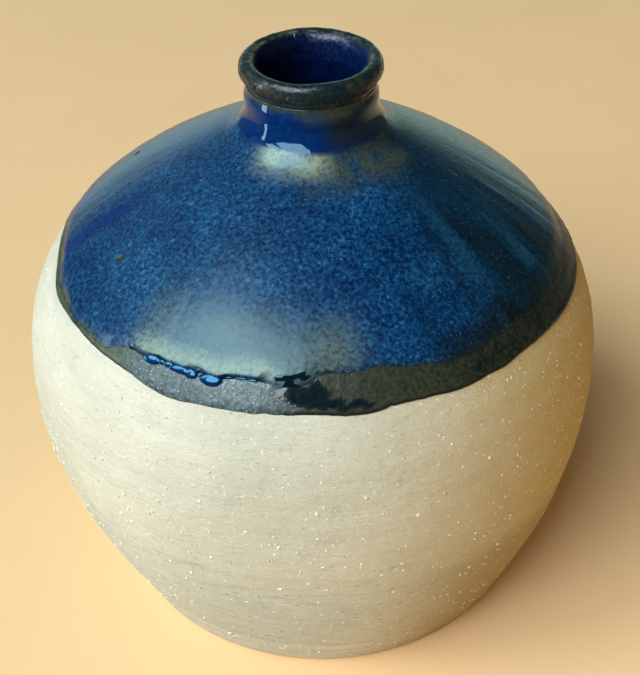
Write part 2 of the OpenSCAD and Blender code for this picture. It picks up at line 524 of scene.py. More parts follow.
def first_coat():
    """The dark first dip: its rounded edge on the clay, the shoulder, and the lip down to the bore."""
    azimuth = columns(600)
    start = OUTSIDE.reach(first_edge(azimuth))
    meet = OUTSIDE.reach(86.5)
    share = np.concatenate([[0, 0.008, 0.02, 0.035, 0.055, 0.08], np.linspace(0.11, 1, 26)])
    near = start + share[:, None] * (meet - start)
    hidden = np.linspace(meet + 2, OUTSIDE.reach(NECK_TOP_Z - 2.5), 16)
    lip = np.arange(OUTSIDE.reach(NECK_TOP_Z - 2), OUTSIDE.length - 0.15, 0.27)
    rest = np.concatenate([hidden, lip, [OUTSIDE.length - 0.01, OUTSIDE.length]])
    s = np.vstack([near, np.repeat(rest[:, None], len(azimuth), axis=1)])
    az_grid = np.broadcast_to(azimuth, s.shape)
    z = OUTSIDE.height(s)
    u = az_grid / 360
    away = s - start
    lipped = ramp(s, OUTSIDE.reach(NECK_TOP_Z - 2), OUTSIDE.reach(NECK_TOP_Z))
    crest = OUTSIDE.run[OUTSIDE.crest]

    smooth = span(az_grid, -150, -97, 8)
    thick = COAT * rounded_edge(away, 0.55 + 0.9 * smooth)
    thick += 0.16 * bump(away, 0.75, 0.7) * (0.6 + 0.4 * noise(u, z / 120, 200, 60, 40)) * (1 - smooth)
    thick += 0.05 * noise(u, z / 120, 260, 110, 41) * ramp(away, 0.4, 1.2) * (1 - lipped)
    thick += lipped * (0.10 * noise(u, s / OUTSIDE.length, 14, 30, 42)
                       + 0.05 * noise(u, s / OUTSIDE.length, 60, 120, 43))
    run = run_mask(az_grid, z) * (1 - lipped)
    thick += (COAT + 0.12 - thick) * run * ramp(away, 0.2, 1.0)
    dimples = lip_pits(az_grid, s)
    thick -= 0.22 * dimples
    thick += (COAT - thick) * ramp(s, OUTSIDE.length - 1.5, OUTSIDE.length)
    thick = np.maximum(thick, 0.0)

    back_s = start + np.linspace(1, 0, 26)[:, None] * (OUTSIDE.length - start)
    break_line = bump(s, crest + 0.8 + 0.25 * wander(az_grid, 9, 44), 0.42) * lipped
    masks = {
        "away": away,
        "lip": lipped,
        "run": run,
        "thin": np.maximum(break_line, 0.8 * dimples),
        "throat": ramp(s, crest + 0.9, crest + 1.6),
        "under": bump(s, OUTSIDE.reach(NECK_TOP_Z + 1.0), 1.6),
    }
    piece = coat_skin("first_coat", azimuth, s, thick, back_s, -BURIED, masks)
    return finish_piece(piece, "first_glaze_coat")


def lip_pits(az_grid, s):
    """A mask of small pits in the glaze of the lip."""
    rng = np.random.default_rng(SEED + 70)
    low, high = OUTSIDE.reach(NECK_TOP_Z + 1), OUTSIDE.run[OUTSIDE.crest] + 1.5
    pits = np.zeros_like(s)
    for _ in range(LIP_PITS):
        az, centre = rng.uniform(-180, 180), rng.uniform(low, high)
        pits += dimple(across_from(az_grid, az, LIP_R), s - centre, rng.uniform(0.22, 0.42))
    return np.clip(pits, 0, 1)


BEADED = (-130.5, -101, 2)      # azimuths of the beaded stretch of the blue edge, and its softness


def shoulder_part(s):
    """1 on the shoulder, falling to 0 toward the neck."""
    return ramp(OUTSIDE.at(s)[0], 18, 36)


def pooled_part(z):
    """1 on the neck, where the blue pooled, falling to 0 at its foot."""
    return ramp(z, 103.5, 107.5)


def neck_part(z):
    """1 on the glossy neck itself, with a sharp end at its foot."""
    return ramp(z, 105.3, 106.3)


def blue_relief(az_grid, s, away, top):
    """Thickness of the blue coat, with its edge, runs, peel, pits and pooled neck."""
    z = OUTSIDE.height(s)
    u, v = az_grid / 360, s / OUTSIDE.length
    beaded = span(az_grid, *BEADED)
    groove = -0.06 * beaded * bump(away, 2.4, 1.0)
    edge_roll = 0.05 * bump(away, 1.0, 1.2) * (0.5 + 0.5 * noise(u, v, 90, 40, 53))
    runs = (0.02 * noise(u, v, 110, 7, 55) + 0.012 * noise(u, v, 260, 16, 56)) * shoulder_part(s)
    runs = runs * (2.6 - 1.6 * span(az_grid, -150, -55, 25))
    peel = 0.018 * noise(u, v, 420, 170, 57)
    pooled = pooled_part(z)

    feather = 3.0 - 2.2 * beaded + 2.0 * span(az_grid, -48, 170, 12)
    thick = BLUE * ramp(away, -0.3, feather) + groove + edge_roll * beaded
    thick += (runs + peel * (1 - 0.85 * neck_part(z))) * ramp(away, 1, 4)
    waist = 0.16 * ramp(z, 109, 114) + 0.16 * (1 - ramp(z, 106.5, 111)) * pooled
    thick += waist + 0.06 * pooled * noise(u, v, 12, 40, 58)
    # A thick place on the front left of the neck, and a swollen foot of the neck
    thick += 0.45 * bump(az_grid, -128, 16) * bump(z, 108.6, 2.6)
    thick += 0.3 * bump(z, 105.4, 2.2) * span(az_grid, -140, -88, 10)
    thick -= 0.38 * pit_mask(az_grid, z)
    thick = thick * (1 - 0.85 * ramp(s, top - 2.4, top))
    return np.maximum(thick, 0.0) + 0.12 * run_mask(az_grid, z) * ramp(away, 0, 0.6)


def blue_marks(az_grid, s, away, top):
    """Masks from 0 to 1 of what differs in the blue coat's colour."""
    z = OUTSIDE.height(s)
    u, v = az_grid / 360, s / OUTSIDE.length
    marks = {"neck": neck_part(z), "pit": pit_mask(az_grid, z)}
    # Pale breaking at the front and at the foot of the neck, partly a painted sheen of the window at
    # the front and over the beads and a painted highlight at the neck's foot, with a mossy part to its
    # right
    cloud_and_sheen = span(az_grid, -123, -86, 12) * ramp(away, 0.2, 1.0) * (1 - ramp(z, 84.5, 91))
    marks["cloud_and_sheen"] = cloud_and_sheen * (0.75 + 0.35 * noise(u, v, 30, 24, 59))
    marks["cream_and_sheen"] = span(az_grid, -126, -100, 7) * ramp(away, 0.7, 1.3) * (1 - ramp(away, 2.0, 5.5))
    foot = ramp(z, 101.4, 104.6) * (1 - ramp(z + 0.5 * noise(u, v, 30, 60, 66), 105.4, 106.1))
    marks["halo_and_highlight"] = foot * span(az_grid, -118, -92, 22) * (0.85 + 0.4 * noise(u, v, 30, 60, 60))
    moss = ramp(z, 99.5, 103.5) * (1 - ramp(z, 105.4, 106.1)) * span(az_grid, -88, -30, 14)
    marks["moss"] = moss * (0.85 + 0.6 * noise(u, v, 40, 50, 65))
    # The dark run, and the dark crease over the beads
    crease = span(az_grid, *BEADED) * (1 - ramp(away + 0.5 * wander(az_grid, 120, 69), 0.5, 0.9))
    marks["dark"] = np.maximum(
        run_mask(az_grid, z), crease * (0.55 + 0.45 * noise(u, v, 90, 20, 70))
    )
    # Light streaks and dark furrows down the right, which is darker toward its edge
    runnel = noise(u, v, 95, 6, 62) + 0.5 * noise(u, v, 240, 26, 67)
    wide = shoulder_part(s)
    marks["streak"] = span(az_grid, -38, 50, 18) * ramp(runnel, 0.15, 0.75) * wide
    furrow = span(az_grid, -42, 50, 18) * ramp(-runnel, 0.1, 0.8) * wide
    shade = span(az_grid, -56, 60, 12) * (1 - ramp(away + 3.5 * noise(u, v, 80, 26, 64), 2, 9))
    marks["shade"] = np.maximum(shade, 0.75 * furrow)
    # A deep blue line and an olive rim at the left, across the azimuth where the angles meet
    wrapped = az_grid % 360
    slanted = wrapped + 1.5 * noise(u, v, 20, 30, 76) - 0.5 * (z - 84)
    marks["deep"] = span(slanted, 188.5, 192, 1.8) * (1 - ramp(z, 92, 97))
    olive = 1 - ramp(away + 1.2 * noise(u, v, 130, 60, 68), 0.3, 1.6)
    marks["rim"] = span(wrapped, 172, 218, 6) * olive
    # The olive fringe under the lip, and the brown right side of the neck
    fringe = ramp(s + 0.4 * noise(u, v, 60, 60, 74), top - 1.5, top - 0.2)
    right = 0.8 * ramp(s, top - 4, top - 0.8) * span(az_grid, -92, -62, 14)
    marks["fringe"] = np.maximum(fringe, right)
    marks["umber"] = pooled_part(z) * span(az_grid, -68, 130, 20)
    return {name: np.clip(mask, 0, 1) for name, mask in marks.items()}


def blue_coat():
    """The blue second dip: beaded edge at the front left, a run at the front, and a pooled neck."""
    azimuth = columns(640)
    start = OUTSIDE.reach(blue_edge(azimuth))
    top = OUTSIDE.reach(BLUE_TOP_Z)
    meet = OUTSIDE.reach(88)
    share = np.concatenate([[0, 0.01, 0.025, 0.045, 0.07, 0.10], np.linspace(0.135, 1, 24)])
    near = start + share[:, None] * (meet - start)
    rest = np.concatenate([np.arange(meet + 0.6, top - 0.2, 0.62), [top - 0.15, top]])
    s = np.vstack([near, np.repeat(rest[:, None], len(azimuth), axis=1)])
    az_grid = np.broadcast_to(azimuth, s.shape)
    away = s - start
    lift = COAT + blue_relief(az_grid, s, away, top)
    masks = {"away": away, **blue_marks(az_grid, s, away, top)}
    back_s = start + np.linspace(1, 0, 30)[:, None] * (top - start)
    piece = coat_skin("blue_coat", azimuth, s, lift, back_s, COAT - BURIED, masks)
    return finish_piece(piece, "blue_glaze_coat")


def blob(azimuth, z, wide, high, thick, seed):
    """A drop of glaze on the first coat: the points and faces of a closed dome with an uneven outline.

    wide, high and thick are its half width, half height and thickness."""
    rng = np.random.default_rng(SEED + seed)
    spokes, rings = 36, 9
    phi = np.linspace(0, 2 * np.pi, spokes, endpoint=False)
    outline = 1 + sum(
        0.10 * rng.uniform(0.4, 1) / k * np.cos(k * phi + rng.uniform(0, 6)) for k in (2, 3, 4)
    )
    share = np.sin(np.linspace(0.12, np.pi / 2, rings))[:, None]
    side = wide * outline * share * np.cos(phi)
    rise = high * outline * share * np.sin(phi)
    lift = thick * np.sqrt(np.clip(1 - share ** 3, 0, 1)) * np.ones_like(phi)
    # Under the rim the dome turns in and closes, sunk in the coat
    under_side, under_rise, under_lift = side[-1:] * 0.9, rise[-1:] * 0.9, lift[-1:] - 2 * BURIED
    side = np.vstack([side, under_side, under_side * 0.1])
    rise = np.vstack([rise, under_rise, under_rise * 0.1])
    lift = np.vstack([lift, under_lift, under_lift])
    radius, height = OUTSIDE.at(OUTSIDE.reach(z) + rise, COAT + lift)
    points = sway(radius, height, azimuth + np.degrees(side / radius)).reshape(-1, 3)
    rows = rings + 2
    index = np.arange(rows * spokes).reshape(rows, spokes)
    inner, outer = index[:-1], index[1:]
    faces = list(np.stack([
        inner, outer, np.roll(outer, -1, axis=1), np.roll(inner, -1, axis=1)
    ], axis=-1).reshape(-1, 4))
    for ring, way in ((0, 1), (rows - 1, -1)):
        hub = len(points)
        points = np.vstack([points, points[index[ring]].mean(axis=0)])
        faces += [(a, b, hub)[::way] for a, b in zip(index[ring], np.roll(index[ring], -1))]
    return points, faces


def blobs(name, drops, seed):
    """One piece made of several blobs."""
    points, faces, first = [], [], 0
    for i, drop in enumerate(drops):
        some_points, some_faces = blob(*drop, seed=seed + i)
        points.append(some_points)
        faces += [tuple(int(v) + first for v in face) for face in some_faces]
        first += len(some_points)
    return finish_piece(new_object(name, np.vstack(points), faces))


# Azimuth, height, half width, half height and thickness of each bead on the blue coat's edge
BEADS = [
    (-128.4, 80.6, 0.9, 0.50, 0.32), (-125.0, 80.2, 2.2, 1.10, 0.48), (-122.2, 80.3, 0.9, 0.60, 0.40),
    (-120.6, 80.3, 1.3, 0.75, 0.46), (-117.8, 80.1, 2.7, 0.85, 0.50), (-115.3, 80.0, 1.5, 1.00, 0.48),
    (-113.8, 81.0, 0.8, 1.10, 0.44), (-110.8, 79.8, 2.4, 1.15, 0.50), (-107.6, 80.6, 1.4, 0.40, 0.30),
    (-104.6, 80.7, 1.6, 0.36, 0.28), (-102.0, 80.6, 1.0, 0.30, 0.24),
]

# Azimuth, height, half width and half height of the parts of the dark run at the front
RUN = [
    (-90.2, 78.9, 3.4, 2.2), (-93.8, 79.2, 2.2, 1.5), (-96.1, 81.3, 1.4, 0.7), (-92.2, 81.6, 2.4, 0.65),
    (-94.0, 80.4, 1.2, 1.4), (-86.6, 77.8, 3.0, 1.0), (-81.5, 77.0, 4.0, 0.6),
]


def run_mask(az_grid, z):
    """The dark run from the blue coat down to the first coat's edge, with a wandering outline."""
    u, v = noise_place(az_grid, z)
    az = az_grid + 1.2 * noise(u, v, 170, 80, 72) + 0.6 * noise(u, v, 300, 120, 75)
    level = z + 0.6 * noise(u, v, 150, 90, 73) + 0.3 * noise(u, v, 290, 120, 76)
    run = np.full(np.shape(z), -1.0)
    for centre, middle, wide, high in RUN:
        across = np.radians(az - centre) * np.interp(middle, [76, 82], [54, 50])
        run = np.maximum(run, 1 - np.hypot(across / wide, (level - middle) / high))
    return ramp(run, 0.0, 0.35)


def pit_mask(az_grid, z):
    """One brown pit in the blue glaze at the left, and a few smaller ones elsewhere."""
    rng = np.random.default_rng(SEED + 80)
    places = [(-148.9, 88.5, 1.0)]
    for _ in range(BLUE_PITS):
        places.append((rng.uniform(-20, 170), rng.uniform(84, 101), rng.uniform(0.4, 0.7)))
    pits = np.zeros_like(z)
    for az, centre, size in places:
        across = across_from(az_grid, az, np.interp(centre, [80, 88, 96, 104], [52, 43.5, 31, 17]))
        pits += dimple(across / 1.1, (z - centre) * 1.3, size)
    return np.clip(pits, 0, 1)


def liner():
    """The poured liner, over the whole inside, a little uneven in the throat."""
    azimuth = columns(256)
    s = np.concatenate([
        np.linspace(4, INSIDE.length - 26, 60, endpoint=False),
        np.linspace(INSIDE.length - 26, INSIDE.length - 0.01, 50),
        [INSIDE.length],
    ])
    s_grid = np.repeat(s[:, None], len(azimuth), axis=1)
    u = np.broadcast_to(azimuth / 360, s_grid.shape)
    uneven = 0.05 * (1 - ramp(s_grid, INSIDE.length - 3, INSIDE.length - 1))
    thick = COAT + uneven * noise(u, s_grid / INSIDE.length, 16, 60, 90)
    radius, height = INSIDE.at(s_grid, -thick)
    back_r, back_z = INSIDE.at(s_grid, BURIED)
    # Up the hidden back and down the lit face; both ends of the section close on the floor's centre
    radius = np.vstack([back_r, radius[::-1]])
    height = np.vstack([back_z, height[::-1]])
    piece = turned("liner", radius, height, azimuth, loop=False)
    return finish_piece(piece, "liner_glaze")


# ---------------- materials

class Nodes:
    """Short ways to add shader nodes to a material or a world."""

    def __init__(self, owner, coordinates):
        owner.use_nodes = True
        self.owner = owner
        self.tree = owner.node_tree
        self.shader = self.tree.nodes.get("Principled BSDF")
        self.colour = None
        self.place = self.node("TexCoord").outputs[coordinates]

    def node(self, kind):
        return self.tree.nodes.new("ShaderNode" + kind)

    def link(self, source, socket):
        if isinstance(source, bpy.types.NodeSocket):
            self.tree.links.new(source, socket)
        else:
            socket.default_value = source

    def stretched(self, scale):
        node = self.node("Mapping")
        node.inputs["Scale"].default_value = scale
        self.tree.links.new(self.place, node.inputs["Vector"])
        return node.outputs["Vector"]

    def pattern(self, kind, grain_mm, stretch):
        node = self.node(kind)
        node.inputs["Scale"].default_value = 1 / (grain_mm * MM)
        self.link(self.stretched(stretch) if stretch else self.place, node.inputs["Vector"])
        return node

    def noise(self, grain_mm, detail=2.0, rough=0.5, stretch=None):
        """Noise from 0 to 1, with grains of about grain_mm."""
        node = self.pattern("TexNoise", grain_mm, stretch)
        node.inputs["Detail"].default_value = detail
        node.inputs["Roughness"].default_value = rough
        return node.outputs["Fac"]

    def cells(self, grain_mm, stretch=None):
        """Distance to the nearest of scattered points, 0 at a point."""
        return self.pattern("TexVoronoi", grain_mm, stretch).outputs["Distance"]

    def spots(self, spacing_mm, wobble_mm, wobble, stretch=None):
        """Like cells, with a ragged outline round each point."""
        return self.plus(self.cells(spacing_mm, stretch), self.times(self.noise(wobble_mm, 2), wobble))

    def axis(self, name):
        """One coordinate: of a surface in metres, of the world from -1 to 1."""
        split = self.node("SeparateXYZ")
        self.tree.links.new(self.place, split.inputs[0])
        return split.outputs[name]

    def value(self, name):
        """One of the values that the mesh carries at its points."""
        node = self.node("Attribute")
        node.attribute_name = name
        return node.outputs["Fac"]

    def math(self, how, a, b=0.0, clamp=False):
        node = self.node("Math")
        node.operation = how
        node.use_clamp = clamp
        self.link(a, node.inputs[0])
        self.link(b, node.inputs[1])
        return node.outputs["Value"]

    def times(self, a, b):
        return self.math("MULTIPLY", a, b)

    def plus(self, a, b):
        return self.math("ADD", a, b)

    def varied(self, name, pattern, start, end, low, high):
        """The mesh's value called name, varied from low to high by a pattern."""
        return self.times(self.value(name), self.ramp(pattern, start, end, low, high))

    def ramp(self, source, start, end, low=0.0, high=1.0):
        """Moves source from start..end to low..high, smoothly and without overshoot."""
        node = self.node("MapRange")
        node.interpolation_type = "SMOOTHSTEP"
        self.link(source, node.inputs["Value"])
        for key, value in (("From Min", start), ("From Max", end), ("To Min", low), ("To Max", high)):
            node.inputs[key].default_value = value
        return node.outputs["Result"]

    def colours(self, source, stops):
        """A colour ramp; stops holds (position, colour) pairs."""
        node = self.node("ValToRGB")
        elements = node.color_ramp.elements
        while len(elements) < len(stops):
            elements.new(0.5)
        for element, (position, colour) in zip(elements, stops):
            element.position = position
            element.color = (*colour, 1)
        self.link(source, node.inputs["Fac"])
        return node.outputs["Color"]

    def mix(self, amount, a, b):
        """Colour a with an amount of colour b over it."""
        node = self.node("Mix")
        node.data_type = "RGBA"
        self.link(amount, node.inputs[0])
        self.link(a if isinstance(a, bpy.types.NodeSocket) else (*a, 1), node.inputs[6])
        self.link(b if isinstance(b, bpy.types.NodeSocket) else (*b, 1), node.inputs[7])
        return node.outputs[2]

    def lay(self, amount, tint):
        """Lays an amount of a tint over the colour so far."""
        self.colour = self.mix(amount, self.colour, tint)

    def bump(self, height, depth_mm, normal=None):
        node = self.node("Bump")
        node.inputs["Distance"].default_value = depth_mm * MM
        self.link(height, node.inputs["Height"])
        if normal:
            self.link(normal, node.inputs["Normal"])
        return node.outputs["Normal"]

    def finish(self, roughness, normal):
        self.link(self.colour, self.shader.inputs["Base Color"])
        self.link(roughness, self.shader.inputs["Roughness"])
        self.link(normal, self.shader.inputs["Normal"])
        return self.owner


def surface(name):
    return Nodes(bpy.data.materials.new(name), "Object")


def sector(n, azimuth, start, full, low=0.0, high=1.0):
    """low at the left, high at the right from azimuth full on, and low again at the back."""
    rise = n.ramp(azimuth, start, full)
    share = n.times(rise, n.ramp(azimuth, 110, 176, 1.0, 0.0))
    return n.ramp(share, 0.0, 1.0, low, high)


def azimuth_of(n):
    """The azimuth of the surface, in degrees."""
    return n.times(n.math("ARCTAN2", n.axis("Y"), n.axis("X")), 180 / math.pi)


CREAM = (0.82, 0.78, 0.625)
BUFF = (0.67, 0.64, 0.495)
GREY_CLAY = (0.51, 0.51, 0.425)
WHITE_GRAIN = (0.94, 0.91, 0.80)
DULL_GRAIN = (0.72, 0.67, 0.52)
# Painted warm shade for the right side of the clay, away from the window
SHADED_TAN = (0.55, 0.36, 0.070)
IRON = (0.20, 0.15, 0.09)
NICK_GREY = (0.17, 0.155, 0.105)
# Painted shade for the low right of the clay
LOW_SHADE_BROWN = (0.34, 0.22, 0.055)
TRIMMED_CLAY = (0.56, 0.60, 0.54)
FILM_WHITE = (0.66, 0.66, 0.54)


def stoneware():
    n = surface("stoneware")
    blotches = n.noise(26, 3, 0.55)
    n.colour = n.colours(blotches, [(0.3, BUFF), (0.7, CREAM)])
    azimuth = azimuth_of(n)
    # Painted warm shade: the right side of the clay turns tan and darker
    n.lay(sector(n, azimuth, -108, -20, 0.0, 0.88), SHADED_TAN)
    fine = n.noise(0.7, 5, 0.72)
    n.lay(n.ramp(fine, 0.38, 0.7, 0.0, 0.22), GREY_CLAY)
    lines = n.noise(9, 5, 0.62, stretch=(1, 1, 14))
    trim = n.value("trim")
    lined = n.times(n.ramp(lines, 0.46, 0.64), n.ramp(trim, 0, 1, 0.25, 0.7))
    n.lay(lined, GREY_CLAY)
    n.lay(n.times(n.value("drag"), 0.45), GREY_CLAY)
    cool = n.times(trim, sector(n, azimuth, -104, -62, 0.40, 0.05))
    n.lay(cool, TRIMMED_CLAY)
    # Painted shade low on the right, darker than the tan above it
    low_right_shade = n.times(n.ramp(trim, 0, 0.9), sector(n, azimuth, -92, -45, 0.0, 0.5))
    n.lay(low_right_shade, LOW_SHADE_BROWN)
    small = n.spots(1.7, 0.5, 0.10, stretch=(0.75, 0.75, 1.3))
    n.lay(n.ramp(small, 0.13, 0.19, 0.9, 0.0), WHITE_GRAIN)
    dots = n.spots(3.4, 0.6, 0.09)
    specks = n.times(n.ramp(dots, 0.08, 0.12, 0.7, 0.0), n.ramp(blotches, 0.42, 0.6))
    n.lay(specks, IRON)
    nicks = n.spots(2.0, 0.7, 0.16, stretch=(0.55, 0.55, 1.5))
    nicks = n.times(n.ramp(nicks, 0.15, 0.23, 0.9, 0.0), n.ramp(n.noise(18, 2), 0.36, 0.50))
    nicks = n.times(nicks, n.ramp(trim, 0, 0.6, 0.4, 1.0))
    n.lay(nicks, NICK_GREY)
    n.lay(n.ramp(n.value("pit"), 0.1, 0.8, 0.0, 0.4), GREY_CLAY)
    n.lay(n.varied("film", n.noise(2.2, 3), 0.3, 0.6, 0.45, 0.95), FILM_WHITE)
    roughness = n.ramp(n.plus(fine, n.value("film")), 0.4, 1.4, 0.93, 0.55)
    scratches = n.noise(2.2, 4, 0.6, stretch=(1, 1, 16))
    normal = n.bump(scratches, 0.20)
    normal = n.bump(n.noise(1.3, 5, 0.75), 0.30, normal)
    return n.finish(roughness, normal)


def white_grains():
    n = surface("grog")
    n.colour = n.colours(n.value("tint"), [(0.2, DULL_GRAIN), (0.6, WHITE_GRAIN)])
    n.lay(n.ramp(n.noise(0.3, 2), 0.3, 0.8, 0.1, 0.5), BUFF)
    # The same painted warm shade on the right of the grains as on the clay
    n.lay(sector(n, azimuth_of(n), -108, -20, 0.0, 0.5), SHADED_TAN)
    normal = n.bump(n.noise(0.2, 2), 0.04)
    return n.finish(n.ramp(n.noise(0.5, 1), 0, 1, 0.6, 0.85), normal)


INDIGO = (0.001, 0.010, 0.040)
COBALT = (0.002, 0.027, 0.095)
STEEL_BLUE = (0.006, 0.065, 0.165)
PALE_FLECK = (0.050, 0.190, 0.340)
DEEP_BLUE = (0.0003, 0.017, 0.120)
NECK_BLUE = (0.0003, 0.017, 0.105)
NAVY = (0.001, 0.013, 0.055)
BLACK_BLUE = (0.002, 0.009, 0.016)
RIGHT_BLUE = (0.002, 0.018, 0.032)
BLACK_GREEN = (0.004, 0.007, 0.006)
TEAL = (0.012, 0.070, 0.130)
# A pale cloudy glaze colour that also holds a painted sheen of the window
CLOUD_AND_SHEEN = (0.115, 0.15, 0.095)
PINHOLE = (0.30, 0.42, 0.48)
UMBER = (0.012, 0.014, 0.009)
# A pale glaze colour that also holds a painted sheen and highlight of the window
HALO_AND_SHEEN = (0.27, 0.33, 0.235)
MOSS = (0.050, 0.066, 0.042)
OLIVE = (0.050, 0.058, 0.030)
DARK_OLIVE = (0.014, 0.018, 0.011)
LEFT_OLIVE = (0.075, 0.105, 0.055)
# A painted sheen and painted glints of the window on the rough first coat
SHEEN_GREY = (0.112, 0.176, 0.190)
GLINT_GREY = (0.40, 0.50, 0.52)
SLATE = (0.004, 0.011, 0.014)
PALE_SLATE = (0.013, 0.028, 0.032)
UNDER_LIP = (0.060, 0.064, 0.026)
RUST = (0.060, 0.055, 0.025)
BREAK_TAN = (0.20, 0.22, 0.13)
BROWN = (0.040, 0.032, 0.014)
LINER_DARK = (0.0005, 0.003, 0.014)
LINER_BLUE = (0.001, 0.010, 0.060)
LINER_BRIGHT = (0.004, 0.025, 0.120)


def throat_depth(n, colour):
    """Darkens colour down the throat and round its left, where hardly any light comes in."""
    deep = n.ramp(n.axis("Z"), 0.103, 0.118, 0.97, 0.0)
    left = n.ramp(azimuth_of(n), 50, 130, 0.0, 0.85)
    return n.mix(n.math("MAXIMUM", deep, left), colour, LINER_DARK)


def blue_glaze():
    n = surface("blue_glaze")
    n.shader.inputs["Specular IOR Level"].default_value = 0.5
    n.shader.inputs["Specular Tint"].default_value = (0.52, 0.83, 0.90, 1)
    azimuth = azimuth_of(n)
    flecks = n.noise(0.75, 4, 0.68)
    grit = n.noise(0.30, 3, 0.7)
    broad = n.noise(12, 4, 0.6)
    tone = n.plus(n.times(flecks, 0.60), n.times(broad, 0.22))
    tone = n.plus(tone, n.times(grit, 0.24))
    stops = [(0.42, INDIGO), (0.505, COBALT), (0.59, STEEL_BLUE), (0.70, PALE_FLECK)]
    n.colour = n.colours(tone, stops)
    n.lay(sector(n, azimuth, -76, -20, 0.0, 0.75), RIGHT_BLUE)
    # What the mesh marks out, the pattern that breaks it up, and the colour there, in order of layers
    for name, pattern, start, end, low, high, tint in (
        ("shade", broad, 0.20, 0.70, 1.00, 0.70, BLACK_GREEN),
        ("streak", flecks, 0.30, 0.65, 0.20, 0.90, TEAL),
        ("deep", flecks, 0.30, 0.70, 1.00, 0.70, DEEP_BLUE),
        ("neck", broad, 0.30, 0.70, 0.95, 0.75, NECK_BLUE),
        # The next layer and the two after it are partly a painted sheen and highlight of the window
        ("cloud_and_sheen", flecks, 0.36, 0.62, 0.40, 0.85, CLOUD_AND_SHEEN),
        ("cream_and_sheen", flecks, 0.36, 0.60, 0.35, 0.80, HALO_AND_SHEEN),
        ("moss", flecks, 0.32, 0.60, 0.40, 1.00, MOSS),
        ("halo_and_highlight", flecks, 0.30, 0.55, 0.35, 0.95, HALO_AND_SHEEN),
        ("rim", flecks, 0.35, 0.60, 0.50, 1.00, LEFT_OLIVE),
    ):
        n.lay(n.varied(name, pattern, start, end, low, high), tint)
    frayed = n.plus(n.value("away"), n.times(n.math("SUBTRACT", flecks, 0.5), 3.4))
    n.lay(n.ramp(frayed, -0.4, 1.3, 0.95, 0.0), DARK_OLIVE)
    n.lay(n.ramp(n.value("dark"), 0.25, 0.8), BLACK_BLUE)
    pit = n.plus(n.value("pit"), n.times(n.math("SUBTRACT", grit, 0.5), 0.9))
    n.lay(n.ramp(pit, 0.25, 0.7), BROWN)
    n.lay(n.varied("umber", flecks, 0.3, 0.7, 0.9, 0.6), UMBER)
    n.lay(n.varied("fringe", flecks, 0.4, 0.6, 0.5, 1.0), OLIVE)
    crystals = n.ramp(n.plus(n.cells(1.15), n.times(grit, 0.12)), 0.15, 0.22, 0.5, 0.0)
    crystals = n.times(crystals, n.ramp(n.value("neck"), 0, 1, 1.0, 0.0))
    n.lay(crystals, PALE_FLECK)
    pinholes = n.ramp(n.cells(4.2), 0.022, 0.044, 0.55, 0.0)
    n.lay(pinholes, PINHOLE)
    gloss = n.math("MAXIMUM", n.value("neck"), n.value("dark"), clamp=True)
    satin = n.ramp(flecks, 0.3, 0.7, 0.24, 0.36)
    roughness = n.times(satin, n.ramp(gloss, 0, 1, 1.0, 0.15))
    calm = n.ramp(gloss, 0, 1, 1.0, 0.1)
    normal = n.bump(n.times(n.noise(1.1, 2, 0.5), calm), 0.030)
    normal = n.bump(n.times(flecks, calm), 0.016, normal)
    return n.finish(roughness, normal)


def pooled_glaze():
    n = surface("pooled_glaze")
    tone = n.noise(0.9, 3, 0.6)
    n.colour = n.colours(tone, [(0.30, NAVY), (0.60, COBALT)])
    n.shader.inputs["IOR"].default_value = 1.8
    n.shader.inputs["Specular Tint"].default_value = (0.20, 0.62, 1.0, 1)
    normal = n.bump(n.noise(1.6, 1), 0.015)
    return n.finish(n.ramp(tone, 0.3, 0.7, 0.06, 0.12), normal)


